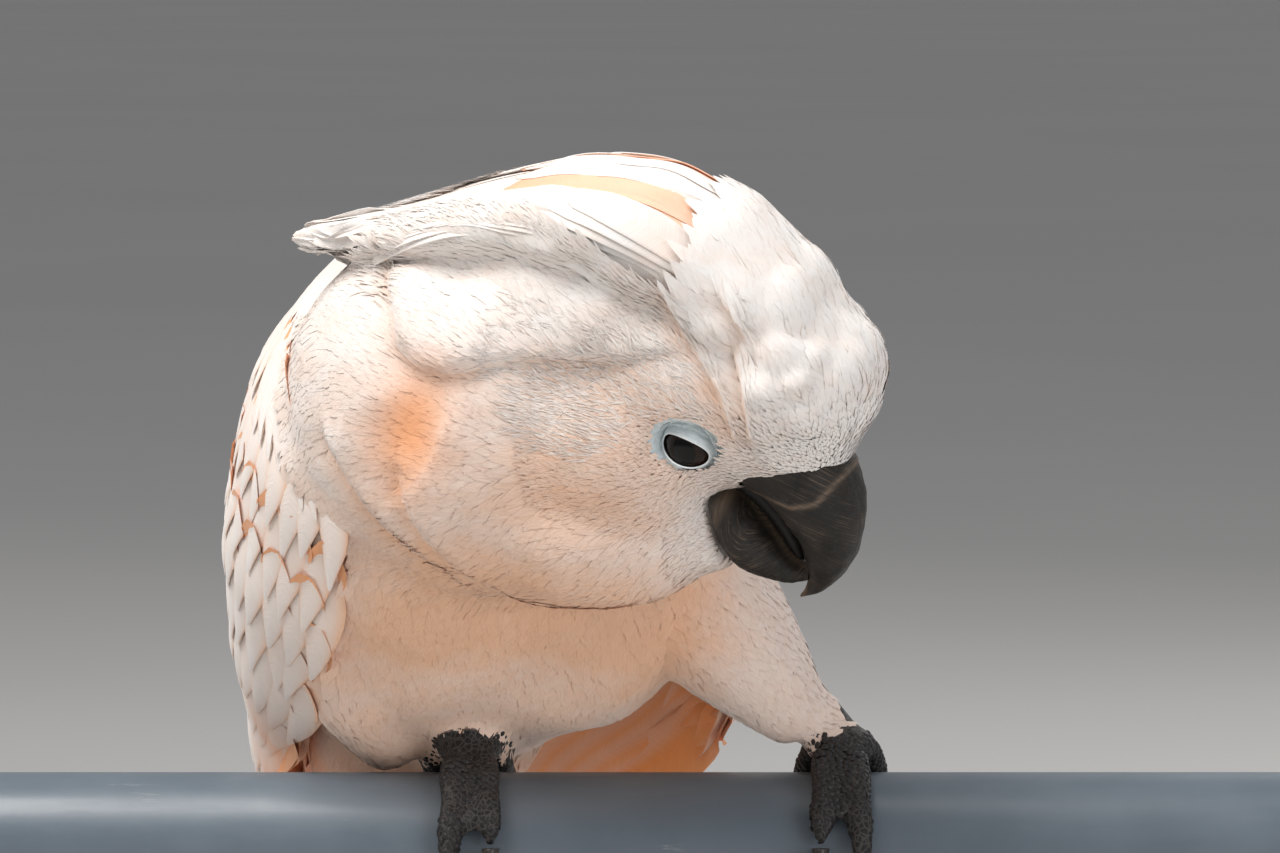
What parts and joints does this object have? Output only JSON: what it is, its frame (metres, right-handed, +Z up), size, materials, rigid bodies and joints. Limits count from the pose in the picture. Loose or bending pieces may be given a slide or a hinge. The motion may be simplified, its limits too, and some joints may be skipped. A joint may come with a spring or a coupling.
{
  "type": "salmon-crested cockatoo on a display perch",
  "caption": "Life-size still model of a perched salmon-crested cockatoo bowing its head to one side, gripping a cut length of rail held on a plain display stand.",
  "frame": {"origin": "middle of the display stand's flat underside", "axes": "+Z up; +X along the rail, towards the bird's left foot; -Y towards the viewer whom the bird's breast faces; the body is turned 22 degrees from -Y towards +X and the head 72 degrees"},
  "size_m": [0.4086, 0.2901, 0.383],
  "materials": {
    "plumage": "soft matt feathers, white flushed with salmon pink",
    "crest": "soft matt feathers, white over salmon orange",
    "flight_feathers": "satin feathers, white over peach yellow",
    "bill": "powdery charcoal horn",
    "eye": "wet near-black brown",
    "foot_skin": "dry dark grey scaled skin",
    "claw": "worn black horn",
    "perch": "weathered slate grey paint",
    "perch_cap": "plain moulded cap",
    "stand_base": "dark satin varnish",
    "stand_rod": "dark brushed"
  },
  "bodies": {
    "root": {"bill_lower": "bill", "bill_upper": "bill", "claw_left_inner_back": "claw", "claw_left_inner_front": "claw", "claw_left_outer_back": "claw", "claw_left_outer_front": "claw", "claw_right_inner_back": "claw", "claw_right_inner_front": "claw", "claw_right_outer_back": "claw", "claw_right_outer_front": "claw", "crest": "crest", "eye_left": "eye", "eye_right": "eye", "foot_left": "foot_skin", "foot_right": "foot_skin", "head": "plumage", "neck": "plumage", "perch_cap_left": "perch_cap", "perch_cap_right": "perch_cap", "perch_rail": "perch", "primaries_left": "flight_feathers", "primaries_right": "flight_feathers", "stand_base": "stand_base", "stand_flange_left": "stand_rod", "stand_flange_right": "stand_rod", "stand_rod_left": "stand_rod", "stand_rod_right": "stand_rod", "tail": "flight_feathers", "thigh_left": "plumage", "thigh_right": "plumage", "toe_left_inner_back": "foot_skin", "toe_left_inner_front": "foot_skin", "toe_left_outer_back": "foot_skin", "toe_left_outer_front": "foot_skin", "toe_right_inner_back": "foot_skin", "toe_right_inner_front": "foot_skin", "toe_right_outer_back": "foot_skin", "toe_right_outer_front": "foot_skin", "trunk": "plumage", "wing_left": "plumage", "wing_right": "plumage"}
  },
  "joints": []
}
